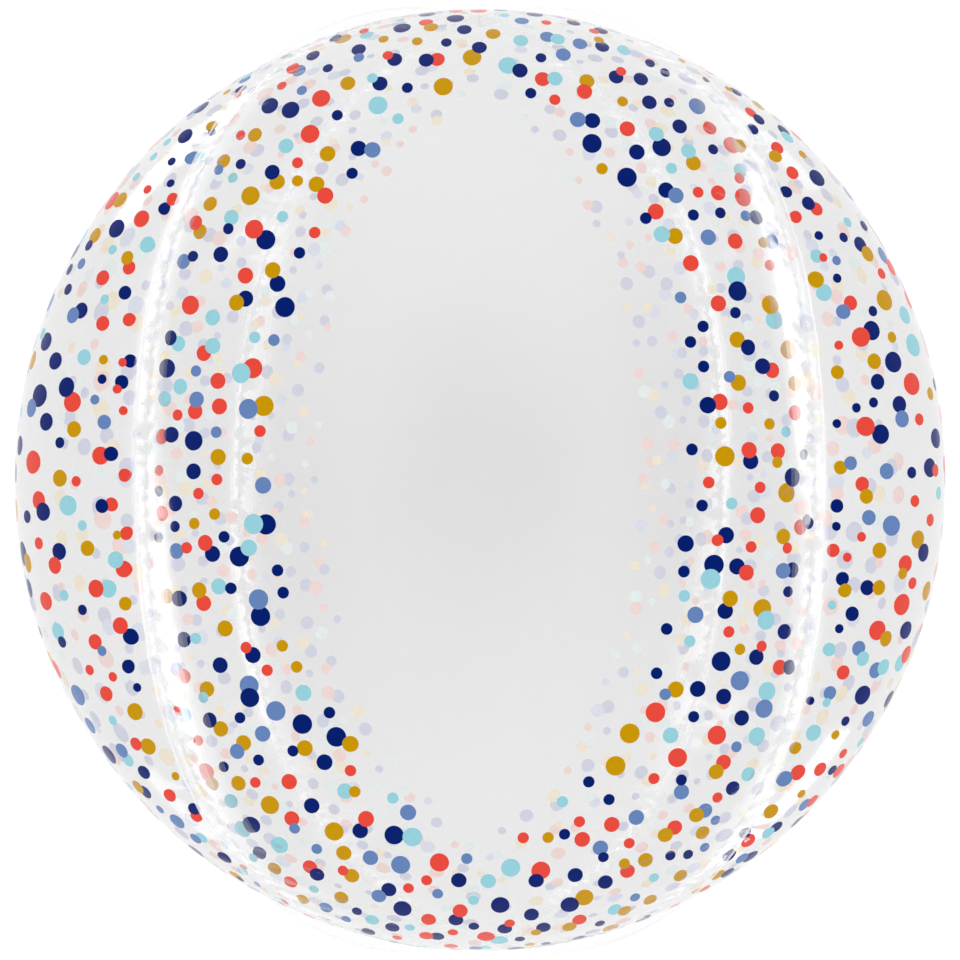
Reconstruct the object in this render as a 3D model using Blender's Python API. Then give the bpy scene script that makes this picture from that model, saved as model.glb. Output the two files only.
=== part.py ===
"""A clear globe balloon printed with confetti dots, lying loose on its back panel.

Four equal film panels run from pole to pole and are heat-sealed along four seams, so the
blown-up envelope is a ball with a shallow valley and a narrow flat fin along each seam.
The filling tail leaves the lower pole. The pole axis is Y, with the tail at -Y, and the
front panel faces +Z. The origin is the centre of the flat spot that the ball rests on.
"""

import math

import bmesh
import bpy
from mathutils import Matrix, Vector

# Driving dimensions in metres
GLOBE_DIAMETER = 0.380
SEAM_DEPTH = 0.024
REST_HALF_LENGTH = 0.034
FIN_HEIGHT = 0.0045
FIN_THICKNESS = 0.0010
FIN_RUN_OUT = 0.020
TAIL_WIDTH = 0.030
TAIL_LENGTH = 0.052
TAIL_THICKNESS = 0.0014
TAIL_CORNER_RADIUS = 0.005
TAIL_ROOT = 0.010

# A seam's valley is deepest at mid height and fades out towards the poles with this
# power of the latitude's cosine
VALLEY_FADE = 3.0

# Faces of the globe: around it, and from pole to pole. A panel's edge is half a quarter
# turn from its middle, so the faces around the globe are a multiple of eight.
FACES_AROUND = 72
FACES_POLE_TO_POLE = 40
CORNER_SEGMENTS = 4
SHARP_ANGLE = math.radians(9)

GLOBE_RADIUS = GLOBE_DIAMETER / 2
REST_DEPTH = GLOBE_RADIUS - math.sqrt(GLOBE_RADIUS**2 - REST_HALF_LENGTH**2)
CENTRE_HEIGHT = GLOBE_RADIUS - REST_DEPTH
PANEL_ANGLE = math.pi / 2
SEAM_ANGLE = PANEL_ANGLE / 2

FILM_COLOUR = (0.78, 0.80, 0.82, 1.0)
FILM_ROUGHNESS = 0.12
FILM_ALPHA = 0.35


def clear_scene():
    """Take every object out of the scene."""
    for obj in list(bpy.data.objects):
        bpy.data.objects.remove(obj, do_unlink=True)


def film_material():
    """The clear polyester film of the envelope."""
    material = bpy.data.materials.new("clear_film")
    material.use_nodes = True
    shader = material.node_tree.nodes["Principled BSDF"]
    shader.inputs["Base Color"].default_value = FILM_COLOUR
    shader.inputs["Roughness"].default_value = FILM_ROUGHNESS
    shader.inputs["Metallic"].default_value = 0.0
    shader.inputs["Alpha"].default_value = FILM_ALPHA
    return material


def seam_radius(latitude):
    """Distance from the globe's centre to the foot of a seam."""
    return GLOBE_RADIUS - SEAM_DEPTH * math.cos(latitude) ** VALLEY_FADE


def panel_radius(latitude, angle):
    """Distance from the globe's centre to a panel, at an angle from the panel's middle.

    The section of a panel is an arc whose centre lies a little way out from the axis. It
    touches the full radius at the panel's middle and the seam's radius at both edges.
    """
    seam = seam_radius(latitude)
    lean = 2 * (GLOBE_RADIUS - seam * math.cos(SEAM_ANGLE))
    shift = (GLOBE_RADIUS**2 - seam**2) / lean
    arc = GLOBE_RADIUS - shift
    return shift * math.cos(angle) + math.sqrt(arc**2 - (shift * math.sin(angle)) ** 2)


def nearest_panel_angle(direction):
    """Angle of a direction from the middle of the nearest panel, about the pole axis."""
    around = math.atan2(direction.x, direction.z)
    return around - PANEL_ANGLE * round(around / PANEL_ANGLE)


def new_object(name, bm):
    """Turn a bmesh into an object of the scene."""
    mesh = bpy.data.meshes.new(name)
    bm.to_mesh(mesh)
    bm.free()
    obj = bpy.data.objects.new(name, mesh)
    bpy.context.scene.collection.objects.link(obj)
    return obj


def make_globe():
    """The blown-up ball, with its seam valleys and the flat spot underneath."""
    bm = bmesh.new()
    bmesh.ops.create_uvsphere(bm, u_segments=FACES_AROUND, v_segments=FACES_POLE_TO_POLE, radius=1.0)
    bmesh.ops.rotate(bm, verts=bm.verts, matrix=Matrix.Rotation(-math.pi / 2, 3, "X"))
    for vertex in bm.verts:
        direction = vertex.co.normalized()
        latitude = math.asin(max(-1.0, min(1.0, direction.y)))
        vertex.co = direction * panel_radius(latitude, nearest_panel_angle(direction))
    cut = bmesh.ops.bisect_plane(
        bm,
        geom=bm.verts[:] + bm.edges[:] + bm.faces[:],
        plane_co=(0, 0, -CENTRE_HEIGHT),
        plane_no=(0, 0, -1),
        clear_outer=True,
    )
    rim = [piece for piece in cut["geom_cut"] if isinstance(piece, bmesh.types.BMEdge)]
    bmesh.ops.contextual_create(bm, geom=rim)
    bmesh.ops.recalc_face_normals(bm, faces=bm.faces)
    return new_object("balloon_envelope", bm)


def fin_height(latitude):
    """Height of a fin, which runs out before the tail and sinks into the globe there."""
    from_tail = GLOBE_RADIUS * (latitude + math.pi / 2) - TAIL_WIDTH / 2
    share = min(1.0, max(0.0, from_tail / FIN_RUN_OUT))
    return share * (FIN_HEIGHT + FIN_THICKNESS) - FIN_THICKNESS


def fin_outline():
    """Outline of the two fins of one seam plane, all the way round the globe."""
    steps = 2 * FACES_POLE_TO_POLE
    points = []
    for step in range(steps):
        turn = 2 * math.pi * step / steps
        latitude = math.asin(math.sin(turn))
        reach = seam_radius(latitude) + fin_height(latitude)
        points.append(Vector((reach * math.cos(turn), reach * math.sin(turn), 0)))
    return points


def extrude_plate(bm, points, thickness):
    """A flat plate of this outline, centred on its own plane."""
    face = bm.faces.new([bm.verts.new(point) for point in points])
    grown = bmesh.ops.extrude_face_region(bm, geom=[face])
    raised = [piece for piece in grown["geom"] if isinstance(piece, bmesh.types.BMVert)]
    bmesh.ops.translate(bm, verts=raised, vec=(0, 0, thickness))
    bmesh.ops.translate(bm, verts=bm.verts, vec=(0, 0, -thickness / 2))
    bmesh.ops.recalc_face_normals(bm, faces=bm.faces)


def make_fin_plate(name, turn):
    """One flat plate whose rim stands out as the fins of two opposite seams."""
    bm = bmesh.new()
    extrude_plate(bm, fin_outline(), FIN_THICKNESS)
    bmesh.ops.rotate(bm, verts=bm.verts, matrix=Matrix.Rotation(turn, 3, "Y"))
    return new_object(name, bm)


def tail_outline():
    """The tail seen from above, with its free end's corners rounded."""
    half = TAIL_WIDTH / 2
    root = -GLOBE_RADIUS + TAIL_ROOT
    end = -GLOBE_RADIUS - TAIL_LENGTH
    points = [Vector((half, root, 0)), Vector((-half, root, 0))]
    for side, first in ((-1, math.pi), (1, 1.5 * math.pi)):
        centre = Vector((side * (half - TAIL_CORNER_RADIUS), end + TAIL_CORNER_RADIUS, 0))
        for step in range(CORNER_SEGMENTS + 1):
            turn = first + math.pi / 2 * step / CORNER_SEGMENTS
            points.append(centre + TAIL_CORNER_RADIUS * Vector((math.cos(turn), math.sin(turn), 0)))
    return points


def make_tail():
    """The flat filling tail, which starts inside the globe at the lower pole."""
    bm = bmesh.new()
    extrude_plate(bm, tail_outline(), TAIL_THICKNESS)
    return new_object("tail_form", bm)


def weld(body, part):
    """Join a shape to the body by a Boolean union, and keep the shape as a guide."""
    modifier = body.modifiers.new(part.name, "BOOLEAN")
    modifier.operation = "UNION"
    modifier.solver = "EXACT"
    modifier.object = part
    part.parent = body
    part.hide_render = True
    part.display_type = "WIRE"


def main():
    """Build the envelope and stand it on its flat spot."""
    clear_scene()
    envelope = make_globe()
    weld(envelope, make_fin_plate("fin_form_right", SEAM_ANGLE))
    weld(envelope, make_fin_plate("fin_form_left", -SEAM_ANGLE))
    weld(envelope, make_tail())
    envelope.data.materials.append(film_material())
    envelope.data.shade_smooth()
    envelope.data.set_sharp_from_angle(angle=SHARP_ANGLE)
    envelope.location = (0, 0, CENTRE_HEIGHT)


main()
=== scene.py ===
"""Dress a clear globe balloon, printed with confetti dots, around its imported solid.

The balloon lies loose on its back panel on a pale floor, and the camera looks straight down
on its front panel. Four film panels run from pole to pole along Y. Each is modelled from its
flat cut: a point of it is given by how far it lies along the panel and across it.
"""

import logging
import math
from dataclasses import dataclass, field, replace
from enum import Enum
from typing import Sequence

import bpy
import numpy as np
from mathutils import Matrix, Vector
from mathutils.geometry import delaunay_2d_cdt


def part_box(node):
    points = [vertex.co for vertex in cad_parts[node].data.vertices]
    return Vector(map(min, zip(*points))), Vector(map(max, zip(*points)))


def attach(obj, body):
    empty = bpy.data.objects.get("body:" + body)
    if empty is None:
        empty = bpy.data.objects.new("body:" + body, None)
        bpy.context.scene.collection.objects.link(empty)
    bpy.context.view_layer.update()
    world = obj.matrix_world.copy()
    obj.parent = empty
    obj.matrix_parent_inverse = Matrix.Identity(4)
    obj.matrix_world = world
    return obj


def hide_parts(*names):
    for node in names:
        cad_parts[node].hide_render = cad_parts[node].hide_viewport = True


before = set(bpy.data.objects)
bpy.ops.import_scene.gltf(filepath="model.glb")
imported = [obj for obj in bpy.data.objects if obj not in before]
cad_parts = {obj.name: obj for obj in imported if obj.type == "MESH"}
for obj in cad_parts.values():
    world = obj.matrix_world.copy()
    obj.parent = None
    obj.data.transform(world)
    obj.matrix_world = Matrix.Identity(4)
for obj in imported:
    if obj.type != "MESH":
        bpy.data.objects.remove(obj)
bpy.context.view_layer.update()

NODE = "balloon_envelope"
BODY = "root"

MM = 0.001

# Angle about the pole axis between the middle of a panel and its seams
SEAM_ANGLE = math.pi / 4

# Angle from which an edge between two faces looks sharp
SHARP_ANGLE = math.radians(50)

# Distance of the eye from the globe's centre, in globe radii. The camera stands there, and the
# dots are drawn out for an eye there.
EYE_REACH = 3.8

# Seeds of the random draws: a panel's dots, the creases along its edges and a fin's waves
DOT_SEED = 40
CREASE_SEED = 100
FIN_SEED = 70

LOG = logging.getLogger("confetti_balloon")


def linear_colour(hex_colour: str) -> tuple[float, float, float, float]:
    """Turn an sRGB hex colour into the linear colour that a shader takes.

    Args:
        hex_colour: six hex digits.

    Returns:
        Linear red, green and blue, and a full fourth channel.
    """
    channels = [int(hex_colour[start:start + 2], 16) / 255 for start in (0, 2, 4)]
    linear = [c / 12.92 if c <= 0.04045 else ((c + 0.055) / 1.055) ** 2.4 for c in channels]
    return (*linear, 1.0)


def add_node(tree: bpy.types.NodeTree, kind: str, settings: dict | None = None,
             links: dict | None = None) -> bpy.types.Node:
    """Add a shader node, set its values and link its inputs.

    Args:
        tree: the material's node tree.
        kind: the node's type name.
        settings: attributes of the node, or values of its inputs, by name.
        links: output sockets to link, by the name or number of the input that they feed.

    Returns:
        The new node.
    """
    node = tree.nodes.new(kind)
    for name, value in (settings or {}).items():
        if name in node.inputs:
            node.inputs[name].default_value = value
        else:
            setattr(node, name, value)
    for name, output in (links or {}).items():
        tree.links.new(output, node.inputs[name])
    return node


def new_material(name: str) -> tuple[bpy.types.Material, bpy.types.NodeTree]:
    """Make an empty node material.

    Args:
        name: the material's name.

    Returns:
        The material and its node tree.
    """
    material = bpy.data.materials.new(name)
    material.use_nodes = True
    material.node_tree.nodes.clear()
    return material, material.node_tree


class Ink(Enum):
    """The five inks of the confetti print: its face and what shows from inside the film."""

    NAVY = ("001B68", "DCDEEE")
    CORAL = ("DE4638", "FFE3DE")
    MUSTARD = ("C08F00", "FEF3DC")
    AQUA = ("8FC7D2", "F2FCFB")
    PERIWINKLE = ("607EB1", "E6EBF8")

    @property
    def face(self) -> str:
        """The colour seen from outside, as sRGB hex."""
        return self.value[0]

    @property
    def back(self) -> str:
        """The pale colour seen from inside, where the white undercoat covers the ink."""
        return self.value[1]


@dataclass(frozen=True)
class FilmFinish:
    """Clear polyester film, cast and stretched: see-through, with a mirror-like gloss.

    Attributes:
        name: the material's name.
        colour: sRGB hex of the little that the film holds back.
        alpha: how much of what lies behind it the film hides.
        roughness: roughness of the mirrored light.
        ripple: height of the fine unevenness of stretched film.
        cloud: strength of its faint cloudiness.
        slant_shade: how much darker its colour is where it is seen at a slant: painted shade.
        ior: index of refraction. Polyester has 1.65, and more here, as both faces mirror light.
        ripple_pitch: distance between two swells of the unevenness.
        cloud_pitch: distance between two clouds.
    """

    name: str = "clear_polyester_film"
    colour: str = "B5B7B9"
    alpha: float = 0.18
    roughness: float = 0.13
    ripple: float = 0.15 * MM
    cloud: float = 0.25
    slant_shade: float = 0.65
    ior: float = 2.0
    ripple_pitch: float = 28 * MM
    cloud_pitch: float = 110 * MM

    def make(self) -> bpy.types.Material:
        """Build the material, whose smooth gloss picks out every pucker of the thin film.

        Returns:
            The film's material. It reads the attribute "gathered", where a piece has it, and
            its colour is that much whiter there: a painted sheen beside the seams.
        """
        material, tree = new_material(self.name)
        place = add_node(tree, "ShaderNodeTexCoord")
        noise = add_node(tree, "ShaderNodeTexNoise", {"Scale": 1 / self.ripple_pitch, "Detail": 2.0},
                         {"Vector": place.outputs["Object"]})
        bump = add_node(tree, "ShaderNodeBump", {"Strength": 1.0, "Distance": self.ripple},
                        {"Height": noise.outputs["Fac"]})
        clouds = add_node(tree, "ShaderNodeTexNoise", {"Scale": 1 / self.cloud_pitch, "Detail": 1.5},
                          {"Vector": place.outputs["Object"]})
        cloudy = add_node(tree, "ShaderNodeMapRange", {"To Min": 1 - self.cloud, "To Max": 1 + self.cloud},
                          {"Value": clouds.outputs["Fac"]})
        # Painted sheen: the colour is whiter where the attribute "gathered" is high, beside the seams
        gathered = add_node(tree, "ShaderNodeAttribute", {"attribute_name": "gathered"})
        value = add_node(tree, "ShaderNodeMath", {"operation": "ADD"},
                         {0: cloudy.outputs["Result"], 1: gathered.outputs["Fac"]})
        # Painted shade: the colour is darker where the film is seen at a slant
        slant = add_node(tree, "ShaderNodeLayerWeight", {"Blend": 0.5})
        darker = add_node(tree, "ShaderNodeMapRange", {"To Min": 1.0, "To Max": 1 - self.slant_shade},
                          {"Value": slant.outputs["Facing"]})
        level = add_node(tree, "ShaderNodeMath", {"operation": "MULTIPLY"},
                         {0: value.outputs[0], 1: darker.outputs["Result"]})
        tone = add_node(tree, "ShaderNodeHueSaturation", {"Color": linear_colour(self.colour)},
                        {"Value": level.outputs[0]})
        body = add_node(tree, "ShaderNodeBsdfPrincipled", {
            "Roughness": self.roughness, "IOR": self.ior, "Alpha": self.alpha},
            {"Base Color": tone.outputs["Color"], "Normal": bump.outputs["Normal"]})
        add_node(tree, "ShaderNodeOutputMaterial", {}, {"Surface": body.outputs[0]})
        return material


@dataclass(frozen=True)
class InkFinish:
    """Gravure-printed ink: opaque and even, with a little of the film's gloss.

    Attributes:
        name: the material's name.
        colour: sRGB hex of the ink.
        roughness: roughness of the mirrored light.
        gloss: level of the mirrored light.
        grain: distance between two specks of the ink's mottling.
        mottling: least and greatest brightness of the mottled ink.
    """

    name: str
    colour: str
    roughness: float = 0.14
    gloss: float = 0.015
    grain: float = 1.6 * MM
    mottling: tuple[float, float] = (0.94, 1.04)

    def make(self) -> bpy.types.Material:
        """Build the material, with the faint mottling that printed ink shows close by.

        Returns:
            The ink's material.
        """
        material, tree = new_material(self.name)
        place = add_node(tree, "ShaderNodeTexCoord")
        noise = add_node(tree, "ShaderNodeTexNoise", {"Scale": 1 / self.grain, "Detail": 3.0},
                         {"Vector": place.outputs["Object"]})
        value = add_node(tree, "ShaderNodeMapRange", {"To Min": self.mottling[0], "To Max": self.mottling[1]},
                         {"Value": noise.outputs["Fac"]})
        tone = add_node(tree, "ShaderNodeHueSaturation", {"Color": linear_colour(self.colour)},
                        {"Value": value.outputs["Result"]})
        body = add_node(tree, "ShaderNodeBsdfPrincipled", {
            "Roughness": self.roughness, "IOR": 1.5, "Specular IOR Level": self.gloss},
            {"Base Color": tone.outputs["Color"]})
        add_node(tree, "ShaderNodeOutputMaterial", {}, {"Surface": body.outputs[0]})
        return material


class Panel(Enum):
    """The four panels, by the angle about the pole axis that each one faces."""

    FRONT = 0
    RIGHT = 1
    BACK = 2
    LEFT = 3

    @property
    def turn(self) -> float:
        """Angle of the panel's middle, from straight up towards +X."""
        return self.value * math.pi / 2

    @property
    def title(self) -> str:
        """The panel's name in piece names."""
        return self.name.lower()

    def crease_seed(self, side: int) -> int:
        """Seed of the creases along the panel's edge on this side, -1 or 1."""
        return CREASE_SEED + 2 * self.value + (side > 0)


@dataclass(frozen=True)
class Gathers:
    """Puckers where a panel is gathered into a seam, because its cut edge is too long, and the highlight
    painted beside them.

    Heights are in half lengths of the panel, from its middle towards either pole.

    Attributes:
        pitch: mean distance between two creases along the seam.
        unevenness: greatest shift of a crease from its even place, in pitches.
        gathered: share of the seam's length that has creases.
        shortest: least reach of a crease into the panel.
        longest: greatest reach of a crease, but for the longer ones.
        rare_long: power that makes long creases rarer than short ones.
        longer: how much further creases reach at the height where they reach furthest.
        longer_height: that height, and how quickly the lengthening fades beside it.
        shallow: least depth of a crease.
        deep: greatest depth of a crease.
        rare_deep: power that makes deep creases rarer than shallow ones.
        lean: spread of the creases' slants.
        poleward: how much creases near a pole slant towards it.
        crease_width: half-width of a crease beside the seam.
        spread: growth of that half-width with the distance from the seam.
        onset: distance from the seam within which a crease reaches its depth.
        near: distance along the seam beyond which a crease isn't felt, in pitches.
        whitened: width of the strip of painted highlight beside the seam, at mid height.
        whitened_height: height where the strip ends, and how quickly it fades before it.
        whitened_fade: share of the strip's width over which it fades into the panel.
        waver: how much the strip's width changes along the seam.
        waver_pitch: about a sixth of the distance between two wide places of the strip.
        notched: depth of the clear notches between its teeth.
        notch_share: least depth of the notches and what is added to it, as shares of that.
        notch_pitch: about a third of the distance between two deep places of the notches.
        tooth_width: half-width of a tooth of middling length.
        tooth_share: half-width of the shortest tooth and what the longest adds to it, as
            shares of that.
        widest_tooth: greatest half-width of a tooth.
        tooth_edge: distance over which a tooth turns from clear to white.
        streak_reach: reach of a thin painted highlight streak along a crease, as a share of the crease's.
        streak_edge: how thin the streak is beside a tooth.
        streak_dimmed: how much fainter streaks are in the strip.
        streak_height: height where the streaks end.
    """

    pitch: float = 6.4 * MM
    unevenness: float = 0.38
    gathered: float = 0.86
    shortest: float = 8 * MM
    longest: float = 26 * MM
    rare_long: float = 1.6
    longer: float = 0.7
    longer_height: tuple[float, float] = (0.55, 0.16)
    shallow: float = 0.4 * MM
    deep: float = 1.4 * MM
    rare_deep: float = 1.3
    lean: float = 0.16
    poleward: float = 0.35
    crease_width: float = 1.3 * MM
    spread: float = 0.10
    onset: float = 1.2 * MM
    near: float = 4
    whitened: float = 20 * MM
    whitened_height: tuple[float, float] = (0.60, 0.22)
    whitened_fade: float = 0.75
    waver: float = 0.35
    waver_pitch: float = 55 * MM
    notched: float = 7 * MM
    notch_share: tuple[float, float] = (0.55, 0.8)
    notch_pitch: float = 13 * MM
    tooth_width: float = 3.2 * MM
    tooth_share: tuple[float, float] = (0.45, 1.5)
    widest_tooth: float = 6 * MM
    tooth_edge: float = 1.2 * MM
    streak_reach: float = 1.6
    streak_edge: float = 3.2
    streak_dimmed: float = 0.6
    streak_height: float = 0.86

    def creases(self, length: float, seed: int) -> np.ndarray:
        """Draw the creases of one panel edge.

        Args:
            length: the edge's length on the flat, from pole to pole.
            seed: the edge's own seed.

        Returns:
            A row for each crease: place along the edge, reach, depth and slant.
        """
        rng = np.random.default_rng(seed)
        count = int(length * self.gathered / self.pitch)
        places = (np.arange(count) + rng.uniform(-self.unevenness, self.unevenness, count)) * self.pitch
        places -= places.mean()
        shares = rng.random(count) ** self.rare_long
        reach = self.shortest + (self.longest - self.shortest) * shares
        height = np.abs(places) / (length / 2)
        middle, fade = self.longer_height
        reach *= 1 + self.longer * np.exp(-((height - middle) / fade) ** 2)
        depth = (self.shallow + (self.deep - self.shallow) * rng.random(count) ** self.rare_deep)
        depth *= np.clip(1.12 - height, 0, 1) ** 0.5
        slant = rng.normal(0, self.lean, count) + self.poleward * places / (length / 2)
        return np.stack([places, reach, depth, slant], axis=1)

    def sink(self, creases: np.ndarray, along: np.ndarray, from_seam: np.ndarray) -> np.ndarray:
        """Depth by which the creases pull the film in.

        Args:
            creases: the edge's creases.
            along: places of the points along the edge.
            from_seam: their distances from the seam.

        Returns:
            How far each point sinks.
        """
        total = np.zeros_like(along)
        onset = 1 - np.exp(-((from_seam / self.onset) ** 2))
        for place, reach, depth, slant in creases:
            near = (from_seam < reach) & (np.abs(along - place) < self.near * self.pitch)
            if not near.any():
                continue
            inner = from_seam[near]
            width = self.crease_width + self.spread * inner
            offset = np.abs(along[near] - place - slant * inner) / width
            fade = (1 - inner / reach) ** 0.8 * onset[near]
            total[near] += depth * fade * np.exp(-(offset ** 1.3))
        return total

    def whiteness(self, creases: np.ndarray, along: np.ndarray, from_seam: np.ndarray,
                  length: float, phase: float) -> np.ndarray:
        """How white the painted highlight makes the film, in a soft strip with teeth towards the seam.

        Args:
            creases: the edge's creases, from which the teeth start.
            along: places of the points along the edge.
            from_seam: their distances from the seam.
            length: the edge's length on the flat, from pole to pole.
            phase: where along the seam the strip is widest.

        Returns:
            From 0 for clear film to 1 for the whitest.
        """
        height = np.abs(along) / (length / 2)
        level = np.clip((self.whitened_height[0] - height) / self.whitened_height[1], 0, 1)
        wide = 1 + self.waver * np.sin(along / self.waver_pitch + phase)
        strip = (self.whitened * wide - from_seam) / (self.whitened_fade * self.whitened)
        strip = np.clip(strip, 0, 1) * level
        notch = np.full_like(along, 1.0)
        streak = np.zeros_like(along)
        for place, reach, _, slant in creases:
            near = (from_seam < 2.5 * reach) & (np.abs(along - place) < self.near * self.pitch)
            grown = self.tooth_share[1] * (reach - self.shortest) / (self.longest - self.shortest)
            width = self.tooth_width * (self.tooth_share[0] + grown)
            offset = np.abs(along[near] - place - slant * from_seam[near]) / min(width, self.widest_tooth)
            notch[near] = np.minimum(notch[near], offset)
            thin = 1 - from_seam[near] / (self.streak_reach * reach) - offset * self.streak_edge
            streak[near] = np.maximum(streak[near], thin)
        depth = self.notched * wide * np.clip(notch, 0, 1)
        depth *= self.notch_share[0] + self.notch_share[1] * np.sin(along / self.notch_pitch + phase) ** 2
        strip *= np.clip((from_seam - depth) / self.tooth_edge, 0, 1)
        streak *= (1 - self.streak_dimmed * level) * (height < self.streak_height)
        return np.clip(np.maximum(strip, streak), 0, 1)


@dataclass(frozen=True)
class GlobeForm:
    """Shape of the blown-up film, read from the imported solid.

    Attributes:
        radius: from the globe's centre to the middle of a panel.
        centre_height: height of the centre above the floor.
        seam_depth: how far a seam lies under the round at mid height.
        valley_fade: power of the latitude's cosine with which the valley fades out.
        swell: height of the slow unevenness of the film.
        waves: what that unevenness is made of. For each wave, how often it repeats along the
            globe and round it, and its phase.
        gathers: the puckers beside the seams.
    """

    radius: float
    centre_height: float
    seam_depth: float = 24 * MM
    valley_fade: float = 4.0
    swell: float = 0.25 * MM
    waves: tuple[tuple[int, int, float], ...] = (
        (5, 3, 0.4), (7, -4, 1.9), (3, 8, 3.1), (11, 5, 5.0), (9, -11, 2.2))
    gathers: Gathers = field(default_factory=Gathers)

    @classmethod
    def from_frame(cls) -> "GlobeForm":
        """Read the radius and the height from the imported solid's box.

        Returns:
            The globe's form.
        """
        low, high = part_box(NODE)
        radius = (high.x - low.x) / 2
        return cls(radius, high.z - radius)

    @property
    def length(self) -> float:
        """A panel's length on the flat, from pole to pole."""
        return math.pi * self.radius

    def seam_radius(self, latitude: np.ndarray) -> np.ndarray:
        """Distance from the globe's centre to the foot of a seam."""
        level = np.clip(np.cos(latitude), 0, 1)
        return self.radius - self.seam_depth * level ** self.valley_fade

    def section(self, latitude: np.ndarray) -> tuple[np.ndarray, np.ndarray, np.ndarray]:
        """The arc that a panel's section follows.

        Args:
            latitude: angles from mid height, towards the upper pole.

        Returns:
            How far the arc's centre lies out from the pole axis, its radius and its half angle.
        """
        seam = self.seam_radius(latitude)
        outward = seam * math.cos(SEAM_ANGLE)
        shift = (self.radius**2 - seam**2) / (2 * (self.radius - outward))
        return shift, self.radius - shift, np.arctan2(seam * math.sin(SEAM_ANGLE), outward - shift)

    def half_width(self, along: np.ndarray) -> np.ndarray:
        """Half of a panel's width on the flat.

        Args:
            along: places along the panel, from its middle.

        Returns:
            The half-width at each place.
        """
        latitude = np.asarray(along) / self.radius
        _, arc, half_angle = self.section(latitude)
        return arc * half_angle * np.clip(np.cos(latitude), 0, 1)

    def swelling(self, latitude: np.ndarray, angle: np.ndarray) -> np.ndarray:
        """Slow unevenness of the film, the same where two panels meet.

        Args:
            latitude: angles from mid height, towards the upper pole.
            angle: angles about the pole axis.

        Returns:
            How far the film stands out at each point.
        """
        total = sum(np.sin(a * latitude + b * angle + phase) for a, b, phase in self.waves)
        return self.swell * total / math.sqrt(len(self.waves)) * np.clip(np.cos(latitude), 0, 1)

    def film(self, panel: Panel, along: np.ndarray, across: np.ndarray) -> np.ndarray:
        """Place points of a flat panel on the blown-up film.

        Args:
            panel: which panel.
            along: places along the panel, from its middle towards the upper pole.
            across: places across it, from its middle line.

        Returns:
            A row of x, y and z for each point.
        """
        latitude = along / self.radius
        level = np.clip(np.cos(latitude), 0, 1)
        shift, arc, half_angle = self.section(latitude)
        width = np.maximum(arc * half_angle * level, 1e-9)
        share = np.clip(across / width, -1, 1)
        turn = share * half_angle
        outward = shift + arc * np.cos(turn)
        aside = arc * np.sin(turn)
        reach = np.hypot(outward, aside)
        sink = np.zeros_like(along)
        for side in (-1, 1):
            creases = self.gathers.creases(self.length, panel.crease_seed(side))
            from_seam = np.maximum(width - side * across, 0)
            sink += self.gathers.sink(creases, along, from_seam)
        angle = panel.turn + np.arctan2(aside, outward)
        lift = self.swelling(latitude, angle) - sink
        up = level * outward + lift * level * np.cos(turn)
        side_way = level * aside + lift * level * np.sin(turn)
        pole_way = np.sin(latitude) * (reach + lift)
        x = up * math.sin(panel.turn) + side_way * math.cos(panel.turn)
        z = up * math.cos(panel.turn) - side_way * math.sin(panel.turn) + self.centre_height
        # The film lies flat where it meets the floor
        return np.stack([x, pole_way, np.maximum(z, 0.0)], axis=1)


def clear_selection() -> None:
    """Leave edit mode and deselect everything, so that an operator meets only the new piece."""
    if bpy.context.object and bpy.context.object.mode != "OBJECT":
        bpy.ops.object.mode_set(mode="OBJECT")
    bpy.ops.object.select_all(action="DESELECT")


def add_sheet(name: str, columns: int, rows: int) -> tuple[bpy.types.Object, np.ndarray]:
    """Add a flat grid to shape a thin piece from.

    Args:
        name: the piece's name.
        columns: faces across it.
        rows: faces along it.

    Returns:
        The sheet, and its points across X and along Y from -1 to 1.
    """
    clear_selection()
    bpy.ops.mesh.primitive_grid_add(x_subdivisions=columns, y_subdivisions=rows, size=2)
    sheet = bpy.context.object
    sheet.name = sheet.data.name = name
    return sheet, read_points(sheet)


def read_points(obj: bpy.types.Object) -> np.ndarray:
    """Read the mesh's vertices.

    Args:
        obj: the piece.

    Returns:
        A row of x, y and z for each vertex.
    """
    points = np.zeros(len(obj.data.vertices) * 3)
    obj.data.vertices.foreach_get("co", points)
    return points.reshape(-1, 3)


def write_points(obj: bpy.types.Object, points: np.ndarray) -> None:
    """Move the mesh's vertices to these places."""
    obj.data.vertices.foreach_set("co", np.asarray(points, dtype=np.float32).ravel())
    obj.data.update()


def merge_doubles(obj: bpy.types.Object, merge: float) -> None:
    """Merge doubled vertices, so that a panel's rows close to one point at the poles.

    Args:
        obj: the piece.
        merge: distance within which two vertices are one.
    """
    bpy.context.view_layer.objects.active = obj
    obj.select_set(True)
    bpy.ops.object.mode_set(mode="EDIT")
    bpy.ops.mesh.select_all(action="SELECT")
    bpy.ops.mesh.remove_doubles(threshold=merge)
    bpy.ops.object.mode_set(mode="OBJECT")


def paint(obj: bpy.types.Object, materials: list[bpy.types.Material], numbers: Sequence[int]) -> None:
    """Give a piece its materials.

    Args:
        obj: the piece.
        materials: its materials.
        numbers: for each face, the number of its material.
    """
    for material in materials:
        obj.data.materials.append(material)
    obj.data.polygons.foreach_set("material_index", numbers)


def thicken(obj: bpy.types.Object, thickness: float, **settings: object) -> None:
    """Give a thin piece its thickness, half to each side, and shade it.

    Args:
        obj: the piece, which closes up.
        thickness: its thickness.
        settings: further attributes of the Solidify modifier.
    """
    bpy.context.view_layer.objects.active = obj
    obj.select_set(True)
    modifier = obj.modifiers.new("thickness", "SOLIDIFY")
    for name, value in dict(settings, thickness=thickness, offset=0.0).items():
        setattr(modifier, name, value)
    bpy.ops.object.modifier_apply(modifier=modifier.name)
    bpy.ops.object.shade_smooth_by_angle(angle=SHARP_ANGLE)


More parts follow.
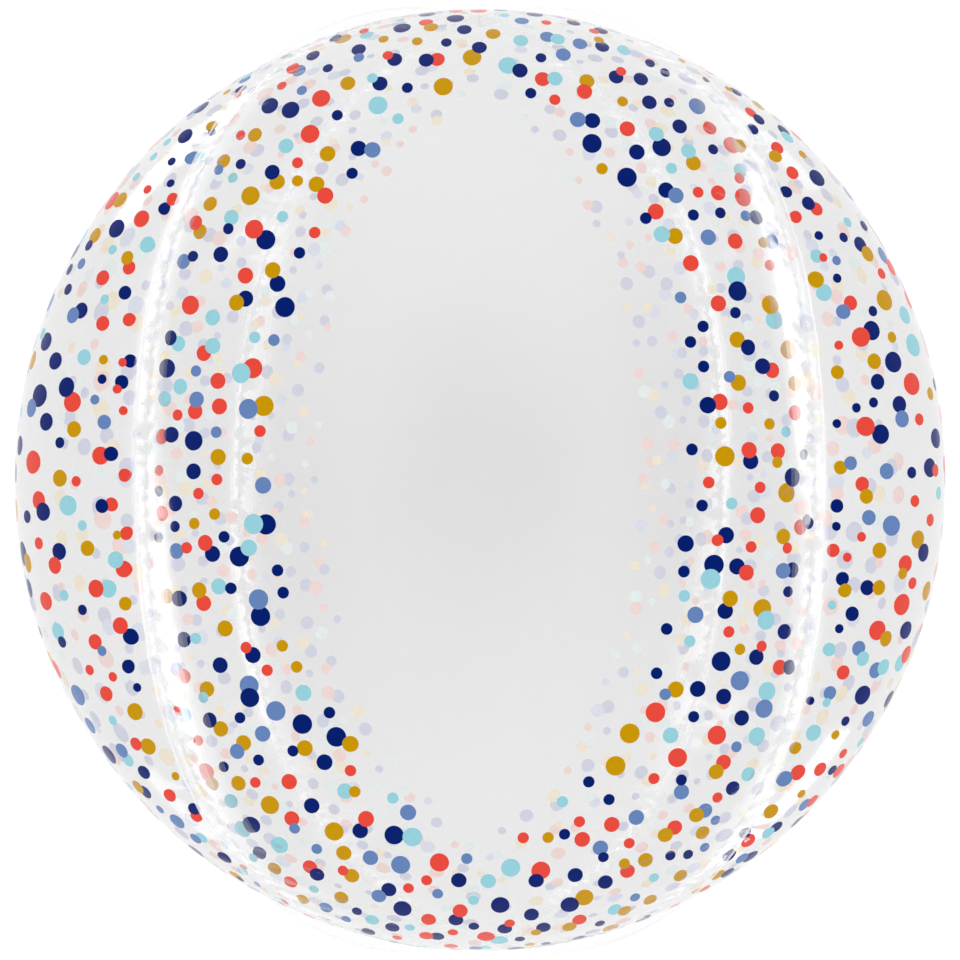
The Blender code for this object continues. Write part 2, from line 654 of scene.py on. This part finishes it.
@dataclass
class FilmPanel:
    """One film panel, from pole to pole and from seam to seam.

    Attributes:
        form: the globe's shape.
        panel: which panel.
        materials: the film's material, then those of ever whiter painted highlight beside the seams.
        highlight_strip: width of the strips of painted highlight, as a share of the widest.
        columns: faces across the panel, closer together towards the seams.
        rows: faces along it, fine enough for the puckers.
        seam_sheen: how much whiter the film's colour is at its seams: a painted sheen.
        white_strip: width of that whiter strip.
        steps: whiteness from which a face has the first, second and further film of painted highlight.
        lifted: how far the whitened film stands out, so that it lies over the print.
        phases: where along the left and the right seam the whitened strip is widest.
        merge: distance within which two vertices are one.
    """

    form: GlobeForm
    panel: Panel
    materials: list[bpy.types.Material]
    highlight_strip: float = 1.0
    columns: int = 64
    rows: int = 480
    seam_sheen: float = 0.6
    white_strip: float = 6 * MM
    steps: tuple[float, ...] = (0.10, 0.22, 0.38, 0.54, 0.72)
    lifted: float = 0.3 * MM
    phases: tuple[float, float] = (3.02, 0.48)
    merge: float = 0.02 * MM

    def build(self) -> bpy.types.Object:
        """Model the panel.

        Returns:
            The film panel, a flat grid moved onto the blown-up shape.
        """
        sheet, flat = add_sheet(f"{self.panel.title}_film", self.columns, self.rows)
        along = flat[:, 1] * self.form.length / 2
        share = np.sin(flat[:, 0] * math.pi / 2)
        width = self.form.half_width(along)
        white = self.whiteness(along, share, width)
        points = self.form.film(self.panel, along, share * width)
        outward = points - (0, 0, self.form.centre_height)
        outward /= np.linalg.norm(outward, axis=1)[:, None]
        lift = self.lifted * np.clip(white / self.steps[0], 0, 1)
        write_points(sheet, points + outward * lift[:, None])
        self.dress(sheet, white, width * (1 - np.abs(share)))
        merge_doubles(sheet, self.merge)
        bpy.ops.object.shade_smooth()
        return sheet

    def whiteness(self, along: np.ndarray, share: np.ndarray, width: np.ndarray) -> np.ndarray:
        """How white the painted highlight makes the film beside its two seams.

        Args:
            along: places of the points along the panel.
            share: their places across it, from -1 at one seam to 1 at the other.
            width: half of the panel's width there.

        Returns:
            From 0 for clear film to 1 for the whitest.
        """
        gathers, length = self.form.gathers, self.form.length
        white = np.zeros_like(along)
        for side, phase in zip((-1, 1), self.phases):
            creases = gathers.creases(length, self.panel.crease_seed(side))
            from_seam = np.maximum(width * (1 - side * share), 0) / self.highlight_strip
            white = np.maximum(white, gathers.whiteness(creases, along, from_seam, length, phase))
        return white

    def dress(self, sheet: bpy.types.Object, white: np.ndarray, from_seam: np.ndarray) -> None:
        """Give each face its film, clear or with painted highlight, and paint a little sheen onto the film at
        its seams.

        Args:
            sheet: the panel, before its doubles are merged.
            white: how white each of its points is.
            from_seam: how far each lies from the nearer seam.
        """
        # Painted sheen: the film's colour is whiter close to its seams
        gathered = sheet.data.attributes.new("gathered", "FLOAT", "POINT")
        gathered.data.foreach_set("value", self.seam_sheen * np.exp(-(from_seam / self.white_strip)))
        # Painted highlight: faces where it is stronger get a whiter, less clear grade of film
        corners = np.zeros(len(sheet.data.polygons) * 4, dtype=np.int32)
        sheet.data.polygons.foreach_get("vertices", corners)
        levels = np.digitize(white[corners].reshape(-1, 4).mean(axis=1), self.steps)
        paint(sheet, self.materials, levels.astype(np.int32))


@dataclass(frozen=True)
class Dot:
    """One printed dot on a flat panel.

    Attributes:
        across: place of its centre across the panel.
        along: place of its centre along it.
        size: which of the three sizes.
        radius: its radius.
        ink: number of its ink.
        drawn: 2 by 2 matrix that draws it out.
    """

    across: float
    along: float
    size: int
    radius: float
    ink: int
    drawn: np.ndarray


@dataclass
class ConfettiPrint:
    """Dots printed on one panel, round a clear window in its middle.

    The artwork is drawn out towards a panel's edges, so that the dots look nearly round
    although the blown-up film turns away there.

    Attributes:
        form: the globe's shape.
        panel: which panel.
        radii: the three sizes of dot.
        window: half-width and half-length of the clear window.
        window_shift: how far the window's middle lies towards the upper pole.
        window_power: power with which the window narrows towards its ends.
        window_margin: how far a dot's centre stays out of the window, in its radii.
        gaps: least and greatest gap between two dots or pairs.
        sparser: how much wider the gaps grow towards the silhouette.
        sparser_within: height over or under the centre where that starts, in globe radii.
        seam_margin: strip beside a seam that is left unprinted.
        most_drawn: greatest lengthening of a dot.
        shown: share of that lengthening that the panel's artwork has.
        side_fade: height over the centre, in globe radii, under which a side panel has less of
            it, and the least share that is left.
        shown_below: share of the lengthening that a side panel has under the centre.
        beside_seam: size of the dots beside a seam, as a share of the size in the middle.
        full_size: distance from a seam where dots have their full size.
        thickness: the ink's thickness, drawn thick enough to stay clear of the film.
        sides: edges of a dot's outline, for each size.
        size_shares: how common each size is.
        ink_shares: how common each ink is.
        small_strip: strip beside the window where small dots are commoner.
        small_chance: chance that a dot there is small for that reason.
        pair_chance: chance that a dot that isn't small has a mate.
        smaller_mate: chance that the mate is one size smaller.
        pair_reach: distance between a pair's centres, as a share of their radii together.
        trials: places that are tried.
    """

    form: GlobeForm
    panel: Panel
    radii: tuple[float, float, float] = (3.3 * MM, 2.7 * MM, 1.95 * MM)
    window: tuple[float, float] = (67.5 * MM, 149 * MM)
    window_shift: float = 9 * MM
    window_power: float = 2.05
    window_margin: float = 1.3
    gaps: tuple[float, float] = (1.3 * MM, 3.5 * MM)
    sparser: float = 2.0
    sparser_within: float = 0.45
    seam_margin: float = 11 * MM
    most_drawn: float = 2.15
    shown: float = 0.9
    side_fade: tuple[float, float] = (0.32, 0.5)
    shown_below: float = 0.3
    beside_seam: float = 1.0
    full_size: float = 75 * MM
    thickness: float = 0.18 * MM
    sides: tuple[int, int, int] = (20, 18, 14)
    size_shares: tuple[float, float, float] = (0.33, 0.52, 0.15)
    ink_shares: tuple[float, ...] = (0.32, 0.21, 0.19, 0.16, 0.12)
    small_strip: float = 9 * MM
    small_chance: float = 0.2
    pair_chance: float = 0.6
    smaller_mate: float = 0.4
    pair_reach: tuple[float, float] = (0.62, 0.93)
    trials: int = 14000

    def in_window(self, across: float, along: float, margin: float) -> bool:
        """Whether a place lies in the clear window or beside it.

        Args:
            across: place across the panel.
            along: place along it.
            margin: how far from the window it still counts.

        Returns:
            True if it does.
        """
        height = abs(along - self.window_shift) / self.window[1]
        if height >= 1:
            return False
        return abs(across) < self.window[0] * (1 - height ** self.window_power) + margin

    def draw_size(self, rng: np.random.Generator) -> int:
        """Pick one of the three sizes of dot."""
        return int(rng.choice(len(self.size_shares), p=self.size_shares))

    def draw_ink(self, rng: np.random.Generator, not_this: int = -1) -> int:
        """Pick an ink.

        Args:
            rng: the panel's random draws.
            not_this: number of an ink that isn't picked.

        Returns:
            The ink's number.
        """
        shares = np.array(self.ink_shares)
        if not_this >= 0:
            shares[not_this] = 0
        return int(rng.choice(len(shares), p=shares / shares.sum()))

    def drawing(self, across: np.ndarray, along: np.ndarray) -> np.ndarray:
        """How dots are drawn out on the flat artwork.

        The upper half of the film is drawn for an eye over the front panel and the lower half
        for one under the back panel, so that dots look nearly round to it on the blown-up
        film. Where none of that lengthening is shown, they are round on the film itself.

        Args:
            across: places across the panel.
            along: places along it.

        Returns:
            A 2 by 2 matrix for each place, which turns a round dot into the drawn one.
        """
        smooth = replace(self.form, swell=0.0, gathers=Gathers(shallow=0.0, deep=0.0))
        place = smooth.film(self.panel, along, across)
        step = 0.5 * MM
        inward = -np.copysign(step, across)
        grain = np.stack([(smooth.film(self.panel, along, across + inward) - place) / inward[:, None],
                          (smooth.film(self.panel, along + step, across) - place) / step], axis=2)
        over = place[:, 2] - self.form.centre_height
        sight = -place
        sight[:, 2] = np.copysign(EYE_REACH * self.form.radius, over) - over
        sight /= np.linalg.norm(sight, axis=1)[:, None]
        away = np.einsum("nij,ni->nj", grain, sight)
        shown = np.full(len(over), self.shown)
        if self.panel in (Panel.LEFT, Panel.RIGHT):
            full, least = self.side_fade
            rising = np.clip(over / (full * self.form.radius), least, 1)
            shown = np.where(over > 0, self.shown * rising, self.shown_below)
        stretched = np.einsum("nij,nik->njk", grain, grain)
        metric = stretched - shown[:, None, None] * away[:, :, None] * away[:, None, :]
        values, vectors = np.linalg.eigh(metric)
        lengthening = np.minimum(self.most_drawn, 1 / np.sqrt(np.maximum(values, 0.01)))
        return np.einsum("nij,nj,nkj->nik", vectors, lengthening, vectors)

    def group(self, rng: np.random.Generator, across: float, along: float, grown: float,
              drawing: np.ndarray, gap_share: float) -> tuple[list[tuple[float, float, float, int]], float]:
        """Draw one dot, or a pair that touches.

        Args:
            rng: the panel's random draws.
            across: the dot's place across the panel.
            along: its place along it.
            grown: its size, as a share of the size in the panel's middle.
            drawing: how dots are drawn out there.
            gap_share: how much wider than elsewhere the gap round it is.

        Returns:
            For each dot its places across and along, radius and size, and the gap round them.
        """
        size = self.draw_size(rng)
        if rng.random() < self.small_chance and self.in_window(across, along, self.small_strip):
            size = 2
        radius = self.radii[size] * grown
        gap = rng.uniform(*self.gaps) * gap_share
        dots = [(across, along, radius, size)]
        if size < 2 and rng.random() < self.pair_chance:
            mate = min(2, size + int(rng.random() < self.smaller_mate))
            mate_radius = self.radii[mate] * grown
            heading = rng.uniform(0, 2 * math.pi)
            reach = (radius + mate_radius) * rng.uniform(*self.pair_reach)
            step = drawing @ (reach * math.cos(heading), reach * math.sin(heading))
            dots.append((across + step[0], along + step[1], mate_radius, mate))
        return dots, gap

    def scatter(self) -> list[Dot]:
        """Scatter the dots evenly but irregularly, many of them in touching pairs.

        Returns:
            The dots in the order in which they are printed, the later ones on top.
        """
        rng = np.random.default_rng(DOT_SEED + self.panel.value)
        along = rng.uniform(-0.5, 0.5, self.trials) * self.form.length
        half_width = self.form.half_width(along) - self.seam_margin
        across = rng.uniform(-1, 1, self.trials) * float(self.form.half_width(0.0))
        from_seam = np.clip(half_width - np.abs(across), 0, None)
        grown = self.beside_seam + (1 - self.beside_seam) * np.clip(from_seam / self.full_size, 0, 1)
        drawings = self.drawing(across, along)
        over = self.form.film(self.panel, along, across)[:, 2] - self.form.centre_height
        beside = np.clip(1 - np.abs(over) / (self.sparser_within * self.form.radius), 0, 1)
        gap_shares = 1 + self.sparser * beside
        dots: list[Dot] = []
        placed = np.zeros((0, 3))
        for trial in np.flatnonzero(np.abs(across) < half_width):
            drawing = drawings[trial]
            group, gap = self.group(rng, across[trial], along[trial], grown[trial], drawing,
                                    gap_shares[trial])
            if any(self.in_window(x, y, self.window_margin * radius) for x, y, radius, _ in group):
                continue
            inverse = np.linalg.inv(drawing)
            clear = True
            for x, y, radius, _ in group:
                away = (placed[:, :2] - (x, y)) @ inverse.T
                clear = clear and not np.any(np.hypot(away[:, 0], away[:, 1]) < placed[:, 2] + radius + gap)
            if not clear:
                continue
            ink = self.draw_ink(rng)
            for x, y, radius, size in group:
                dots.append(Dot(x, y, size, radius, ink, drawing))
                ink = self.draw_ink(rng, not_this=ink)
            placed = np.vstack([placed, [member[:3] for member in group]])
        return dots

    def outline(self) -> list[Vector]:
        """The flat panel's outline, which cuts the dots off at the seams.

        Returns:
            Flat points, up the right edge and down the left.
        """
        steps = 161
        places = np.linspace(-self.form.length / 2, self.form.length / 2, steps)
        widths = self.form.half_width(places)
        right = [Vector((w, y)) for w, y in zip(widths[1:-1], places[1:-1])]
        left = [Vector((-w, y)) for w, y in zip(widths[-2:0:-1], places[-2:0:-1])]
        return right + left

    def inner_points(self, dots: list[Dot]) -> list[Vector]:
        """Points inside the dots, so that the print follows the film's puckers.

        Args:
            dots: the dots.

        Returns:
            Flat points, close together near the seams.
        """
        puckered, past_edge, inset = 30 * MM, 160 * MM, 0.5 * MM
        half_length = self.form.length / 2
        points = []
        for step, row_step, beside_seam in ((1.5 * MM, 1.25 * MM, True), (3 * MM, 3 * MM, False)):
            rows = np.arange(-half_length, half_length, row_step)
            columns = np.arange(-past_edge, past_edge, step)
            across, along = (grid.ravel() for grid in np.meshgrid(columns, rows))
            from_seam = self.form.half_width(along) - np.abs(across)
            wanted = (from_seam > 0) & ((from_seam < puckered) == beside_seam)
            points.append(np.stack([across, along], 1)[wanted])
        grid = np.vstack(points)
        inside = np.zeros(len(grid), bool)
        for dot in dots:
            away = (grid - (dot.across, dot.along)) @ np.linalg.inv(dot.drawn).T
            inside |= np.hypot(away[:, 0], away[:, 1]) < dot.radius - inset
        return [Vector(point) for point in grid[inside]]

    def cut(self, dots: list[Dot]) -> tuple[np.ndarray, list[tuple[int, ...]], list[int]]:
        """Cut the dots out of the flat panel.

        The cut is a Delaunay triangulation, because no modelling operator cuts hundreds of
        overlapping rounds without a window.

        Args:
            dots: the dots, the later ones on top.

        Returns:
            Flat points, triangles and each triangle's ink.
        """
        points: list[Vector] = []
        rounds: list[list[int]] = []
        for dot in dots:
            count = self.sides[dot.size]
            first = len(points)
            turns = 2 * math.pi * np.arange(count) / count
            ring = dot.radius * np.stack([np.cos(turns), np.sin(turns)], 1) @ dot.drawn.T
            points += [Vector((dot.across + x, dot.along + y)) for x, y in ring]
            rounds.append(list(range(first, first + count)))
        edge = self.outline()
        rounds.append(list(range(len(points), len(points) + len(edge))))
        points += edge + self.inner_points(dots)
        inside_only, merge = 1, 1e-6
        result = delaunay_2d_cdt(points, [], rounds, inside_only, merge, True)
        flat = np.array([tuple(point) for point in result[0]])
        panel_round = len(rounds) - 1
        faces, inks = [], []
        for face, sources in zip(result[2], result[5]):
            printed = [source for source in sources if source != panel_round]
            if printed and panel_round in sources:
                faces.append(tuple(face))
                inks.append(dots[max(printed)].ink)
        return flat, faces, inks

    def build(self, faces_and_backs: list[bpy.types.Material]) -> bpy.types.Object:
        """Model the print.

        Args:
            faces_and_backs: the five inks' materials, then what shows of each from inside.

        Returns:
            The print of this panel, each dot a thin closed layer lying in the film.
        """
        dots = self.scatter()
        flat, faces, inks = self.cut(dots)
        used = sorted({corner for face in faces for corner in face})
        renumber = {old: new for new, old in enumerate(used)}
        points = self.form.film(self.panel, flat[used, 1], flat[used, 0])
        mesh = bpy.data.meshes.new(f"{self.panel.title}_print")
        mesh.from_pydata(points.tolist(), [], [[renumber[c] for c in face] for face in faces])
        obj = bpy.data.objects.new(mesh.name, mesh)
        bpy.context.scene.collection.objects.link(obj)
        paint(obj, faces_and_backs, inks)
        clear_selection()
        thicken(obj, self.thickness, material_offset=len(Ink), material_offset_rim=len(Ink), use_rim=True)
        LOG.info("%s: %d dots, %d faces", obj.name, len(dots), len(obj.data.polygons))
        return obj


@dataclass
class SeamFin:
    """The narrow flat fin where two panels are heat-sealed together.

    Attributes:
        form: the globe's shape.
        number: which of the four seams, from the one beside the front and right panels.
        height: how far the fin stands out from the seam's foot.
        foot: how far it reaches into the globe.
        thickness: two films together, drawn thick enough to show.
        wave: how far the fin's free edge waves to either side.
        wave_lengths: lengths of the shortest and the longest wave, in mm.
        sealed_edge: width of the whitish welded strip along the free edge.
        tail_clearance: where the fin starts, measured from the lower pole.
        run_out: length over which it rises there to its height.
        rows: faces along the fin.
    """

    form: GlobeForm
    number: int
    height: float = 4.5 * MM
    foot: float = 0.6 * MM
    thickness: float = 0.25 * MM
    wave: float = 0.2 * MM
    wave_lengths: tuple[float, float] = (9, 34)
    sealed_edge: float = 0.8 * MM
    tail_clearance: float = 15 * MM
    run_out: float = 20 * MM
    rows: int = 600

    @property
    def turn(self) -> float:
        """The seam's angle about the pole axis, from straight up towards +X."""
        return SEAM_ANGLE + self.number * math.pi / 2

    def build(self, film: bpy.types.Material, weld: bpy.types.Material) -> bpy.types.Object:
        """Model the fin as a ribbon along the seam, from pole to pole.

        Args:
            film: material of the fin.
            weld: material of its welded free edge.

        Returns:
            The fin.
        """
        fin, flat = add_sheet(f"seam_fin_{self.number}", 3, self.rows)
        latitude = flat[:, 1] * math.pi / 2
        column = np.rint((flat[:, 0] + 1) * 1.5).astype(int)
        levels = (-self.foot, 0.5 * self.height, self.height - self.sealed_edge, self.height)
        heights = np.array(levels)[column]
        # Beside the tail the fin sinks into the globe
        from_tail = self.form.radius * (latitude + math.pi / 2) - self.tail_clearance
        heights = heights * np.clip(from_tail / self.run_out, 0, 1) - 0.4 * MM * (from_tail < 0)
        share = np.clip(heights / self.height, 0, 1)
        sway = self.wave * share * self.sway(latitude * self.form.radius)
        reach = self.form.seam_radius(latitude) + heights
        level = np.clip(np.cos(latitude), 0, 1)
        x = reach * level * math.sin(self.turn) + sway * math.cos(self.turn)
        z = reach * level * math.cos(self.turn) - sway * math.sin(self.turn) + self.form.centre_height
        write_points(fin, np.stack([x, reach * np.sin(latitude), z], axis=1))
        paint(fin, [film, weld], [max(column[v] for v in face.vertices) == 3 for face in fin.data.polygons])
        thicken(fin, self.thickness)
        return fin

    def sway(self, along: np.ndarray) -> np.ndarray:
        """How the free edge waves along the seam.

        Args:
            along: places along the seam.

        Returns:
            About -1 to 1 at each place.
        """
        rng = np.random.default_rng(FIN_SEED + self.number)
        lengths = rng.uniform(*self.wave_lengths, 5) * MM
        phases = rng.uniform(0, 2 * math.pi, 5)
        waves = (np.sin(2 * math.pi * along / length + phase) for length, phase in zip(lengths, phases))
        return sum(waves) / 2.2


@dataclass
class FillingTail:
    """The flat tail at the lower pole, through which the balloon is filled.

    Attributes:
        form: the globe's shape.
        width: the tail's width.
        length: how far it stands out from the globe.
        thickness: two films together, drawn thick enough to show.
        border: width of the welded strip along each side.
        root: how far the tail reaches into the globe.
        corner: radius of the free end's corners.
        flare: how much wider each half is at the root, and the length over which that fades.
        ruffle: depth of the folds that run out from the root, and the length over which they fade.
        crumple: depth of the slow crumpling.
        droop: how far the free end hangs down.
    """

    form: GlobeForm
    width: float = 30 * MM
    length: float = 52 * MM
    thickness: float = 0.35 * MM
    border: float = 3.0 * MM
    root: float = 4 * MM
    corner: float = 5 * MM
    flare: tuple[float, float] = (7 * MM, 6 * MM)
    ruffle: tuple[float, float] = (0.5 * MM, 16 * MM)
    crumple: float = 0.55 * MM
    droop: float = 1.2 * MM

    def build(self, film: bpy.types.Material, weld: bpy.types.Material) -> bpy.types.Object:
        """Model the tail from a flat sheet, with welded borders and a little crumpling.

        Args:
            film: material of the tail.
            weld: material of its welded borders.

        Returns:
            The tail.
        """
        tail, flat = add_sheet("filling_tail", 30, 56)
        half = self.width / 2
        from_root = (1 - flat[:, 1]) / 2 * (self.length + self.root)
        across = flat[:, 0] * half
        from_end = self.length + self.root - from_root
        shy = np.maximum(self.corner - from_end, 0)
        inset = self.corner - np.sqrt(np.maximum(self.corner**2 - shy**2, 0))
        across *= (half - inset) / half
        flare = self.flare[0] * np.exp(-from_root / self.flare[1])
        across += flat[:, 0] * flare
        weight = np.clip(from_root / (12 * MM), 0, 1)
        folds = self.ruffle[0] * np.sin(across / (4.1 * MM) + 1.3) * np.exp(-from_root / self.ruffle[1])
        folds += self.crumple * np.sin(from_root / (9 * MM) + across / (14 * MM))
        height = self.form.centre_height + folds * weight - self.droop * (from_root / self.length) ** 2
        y = -self.form.radius + self.root - from_root
        write_points(tail, np.stack([across, y, height], axis=1))
        paint(tail, [film, weld], [abs(face.center.x) > half - self.border for face in tail.data.polygons])
        thicken(tail, self.thickness)
        return tail


@dataclass
class Studio:
    """A plain pale floor, soft lamps and the camera over the balloon.

    Attributes:
        form: the globe's shape.
        camera_reach: distance of the camera from the globe's centre, in globe radii.
        silhouette_share: share of the picture's half-width that the globe fills.
        backdrop: brightness of the white surroundings.
    """

    form: GlobeForm
    camera_reach: float = EYE_REACH
    silhouette_share: float = 470.5 / 480
    backdrop: float = 1.12

    def floor(self) -> None:
        """Lay the pale, matt floor just under the balloon, so that the film shows against it."""
        clear_selection()
        bpy.ops.mesh.primitive_plane_add(size=14, location=(0, 0, -0.4 * MM))
        floor = bpy.context.object
        floor.name = floor.data.name = "floor"
        material, tree = new_material("pale_studio_floor")
        body = add_node(tree, "ShaderNodeBsdfPrincipled", {
            "Base Color": linear_colour("FDFDFD"), "Roughness": 1.0, "Specular IOR Level": 0.0})
        add_node(tree, "ShaderNodeOutputMaterial", {}, {"Surface": body.outputs[0]})
        floor.data.materials.append(material)

    def lamp(self, name: str, azimuth: float, reach: float, height: float,
             size: tuple[float, float], glow: float, lit: tuple[bpy.types.Object, ...]) -> None:
        """Stand a soft lamp low beside the balloon, to be mirrored in it without lighting it.

        Args:
            name: the lamp's name.
            azimuth: its direction from the balloon, in degrees from right towards the pole.
            reach: how far it stands from the balloon's middle.
            height: height of its middle over the floor.
            size: its width and height.
            glow: its brightness beside a white floor's.
            lit: the only pieces that mirror it.
        """
        light = bpy.data.lights.new(name, "AREA")
        light.shape = "RECTANGLE"
        light.size, light.size_y = size
        light.energy = glow * math.pi * size[0] * size[1]
        obj = bpy.data.objects.new(name, light)
        turn = math.radians(azimuth)
        obj.location = (reach * math.cos(turn), reach * math.sin(turn), height)
        aim = Vector((0, 0, self.form.centre_height + 0.1)) - obj.location
        obj.rotation_euler = aim.to_track_quat("-Z", "Y").to_euler()
        obj.visible_camera = False
        obj.visible_diffuse = False
        receivers = bpy.data.collections.new(f"lit_by_{name}")
        for piece in lit:
            receivers.objects.link(piece)
        obj.light_linking.receiver_collection = receivers
        bpy.context.scene.collection.objects.link(obj)

    def light(self, front: tuple[bpy.types.Object, ...], edges: tuple[bpy.types.Object, ...]) -> None:
        """Set the soft lamps and the pale surroundings.

        Args:
            front: the front panel's pieces, which mirror the lamps beside the seams.
            edges: the side films, which mirror the lamps near the silhouette.
        """
        self.lamp("upper_left_softbox", 128, 0.42, 0.10, (0.28, 0.075), 11, edges)
        self.lamp("lower_right_softbox", -52, 0.42, 0.10, (0.28, 0.075), 11, edges)
        self.lamp("upper_right_softbox", 56, 0.42, 0.11, (0.24, 0.07), 4, edges)
        self.lamp("lower_left_softbox", 236, 0.42, 0.11, (0.24, 0.07), 4, edges)
        self.lamp("left_softbox", 198, 0.44, 0.08, (0.26, 0.09), 4, front)
        self.lamp("right_softbox", 18, 0.44, 0.08, (0.26, 0.09), 4, front)
        world = bpy.context.scene.world or bpy.data.worlds.new("studio")
        bpy.context.scene.world = world
        world.use_nodes = True
        backdrop = world.node_tree.nodes["Background"]
        backdrop.inputs["Color"].default_value = (1, 1, 1, 1)
        backdrop.inputs["Strength"].default_value = self.backdrop
        bpy.context.scene.view_settings.view_transform = "Standard"

    def camera(self) -> None:
        """Look straight down on the front panel, with the upper pole at the top."""
        distance = self.camera_reach * self.form.radius
        edge = math.tan(math.asin(1 / self.camera_reach)) / self.silhouette_share
        data = bpy.data.cameras.new("camera")
        data.lens = data.sensor_width / 2 / edge
        data.clip_start = 0.05
        camera = bpy.data.objects.new("camera", data)
        camera.location = (0, 0, self.form.centre_height + distance)
        bpy.context.scene.collection.objects.link(camera)
        bpy.context.scene.camera = camera


def hand_over(piece: bpy.types.Object) -> None:
    """Make a finished piece part of the balloon and log it.

    Args:
        piece: the piece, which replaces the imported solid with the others.
    """
    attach(piece, BODY)
    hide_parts(NODE)
    LOG.info("%s: %d faces", piece.name, len(piece.data.polygons))


def make_films() -> list[bpy.types.Material]:
    """Make the films of a panel.

    Returns:
        The clear film, then five grades of it, ever whiter and less clear: painted highlight.
    """
    # Stretched polyester film, as smooth as glass: the eye sees through it and finds it by its gloss
    films = [FilmFinish().make()]
    # The same film with painted highlight: ever whiter, less clear grades for the white bands and teeth
    # beside the seams
    grades = (("C2C3C4", 0.19), ("D3D4D5", 0.23), ("E3E3E4", 0.28), ("F2F2F2", 0.34), ("FFFFFF", 0.42))
    for number, (colour, alpha) in enumerate(grades):
        grade = FilmFinish(f"crinkled_film_{number}", colour, alpha, roughness=0.2, ripple=0.2 * MM,
                           cloud=0.1, slant_shade=0.0)
        films.append(grade.make())
    return films


def make_inks() -> list[bpy.types.Material]:
    """Make the inks of the print.

    Returns:
        The five inks, then what shows of each from inside.
    """
    # Gravure ink under the film's gloss: flat, saturated dots with crisp edges
    faces = [InkFinish(f"{ink.name.lower()}_ink", ink.face).make() for ink in Ink]
    # Its white undercoat, seen from inside: pale, matt dots that keep a tint of the ink
    backs = [InkFinish(f"{ink.name.lower()}_ink_from_inside", ink.back, roughness=0.4, gloss=0.1).make()
             for ink in Ink]
    return faces + backs


def confetti_for(form: GlobeForm, panel: Panel) -> ConfettiPrint:
    """Choose the print of one panel.

    Args:
        form: the globe's shape.
        panel: which panel.

    Returns:
        The print. The back panel's clear window is longer and wider than the front panel's,
        and a side panel's is small, with larger dots round it.
    """
    if panel is Panel.FRONT:
        return ConfettiPrint(form, panel)
    if panel is Panel.BACK:
        return ConfettiPrint(form, panel, window=(86 * MM, 220 * MM), gaps=(2.0 * MM, 6.5 * MM),
                             seam_margin=7 * MM, shown=0.4)
    return ConfettiPrint(form, panel, radii=(4.8 * MM, 3.9 * MM, 2.6 * MM), window=(28 * MM, 80 * MM),
                         gaps=(1.4 * MM, 4.0 * MM), seam_margin=9 * MM, beside_seam=0.62, shown=0.8)


def main() -> None:
    """Build and dress the balloon, then set the studio round it."""
    logging.basicConfig(level=logging.INFO, format="%(name)s: %(message)s")
    form = GlobeForm.from_frame()
    studio = Studio(form)
    studio.camera()
    film_grades = make_films()
    # Two films welded flat together, a little whiter than one
    fin_film = FilmFinish("welded_double_film", "F4F5F6", alpha=0.14, slant_shade=0.0).make()
    # The heat-sealed edge, whose melted surface is a whitish line
    weld = FilmFinish("heat_sealed_edge", "FCFCFC", alpha=0.4, roughness=0.2, slant_shade=0.0).make()
    inks = make_inks()
    # Width of each panel's strips of painted highlight beside its seams
    highlight_strip = {Panel.FRONT: 1.0, Panel.RIGHT: 0.3, Panel.BACK: 0.95, Panel.LEFT: 0.3}
    films, prints = {}, {}
    for panel in Panel:
        films[panel] = FilmPanel(form, panel, film_grades, highlight_strip[panel]).build()
        prints[panel] = confetti_for(form, panel).build(inks)
        hand_over(films[panel])
        hand_over(prints[panel])
    for number in range(len(Panel)):
        hand_over(SeamFin(form, number).build(fin_film, weld))
    hand_over(FillingTail(form).build(fin_film, weld))
    studio.floor()
    studio.light((films[Panel.FRONT], prints[Panel.FRONT]), (films[Panel.LEFT], films[Panel.RIGHT]))


if __name__ == "__main__":
    main()
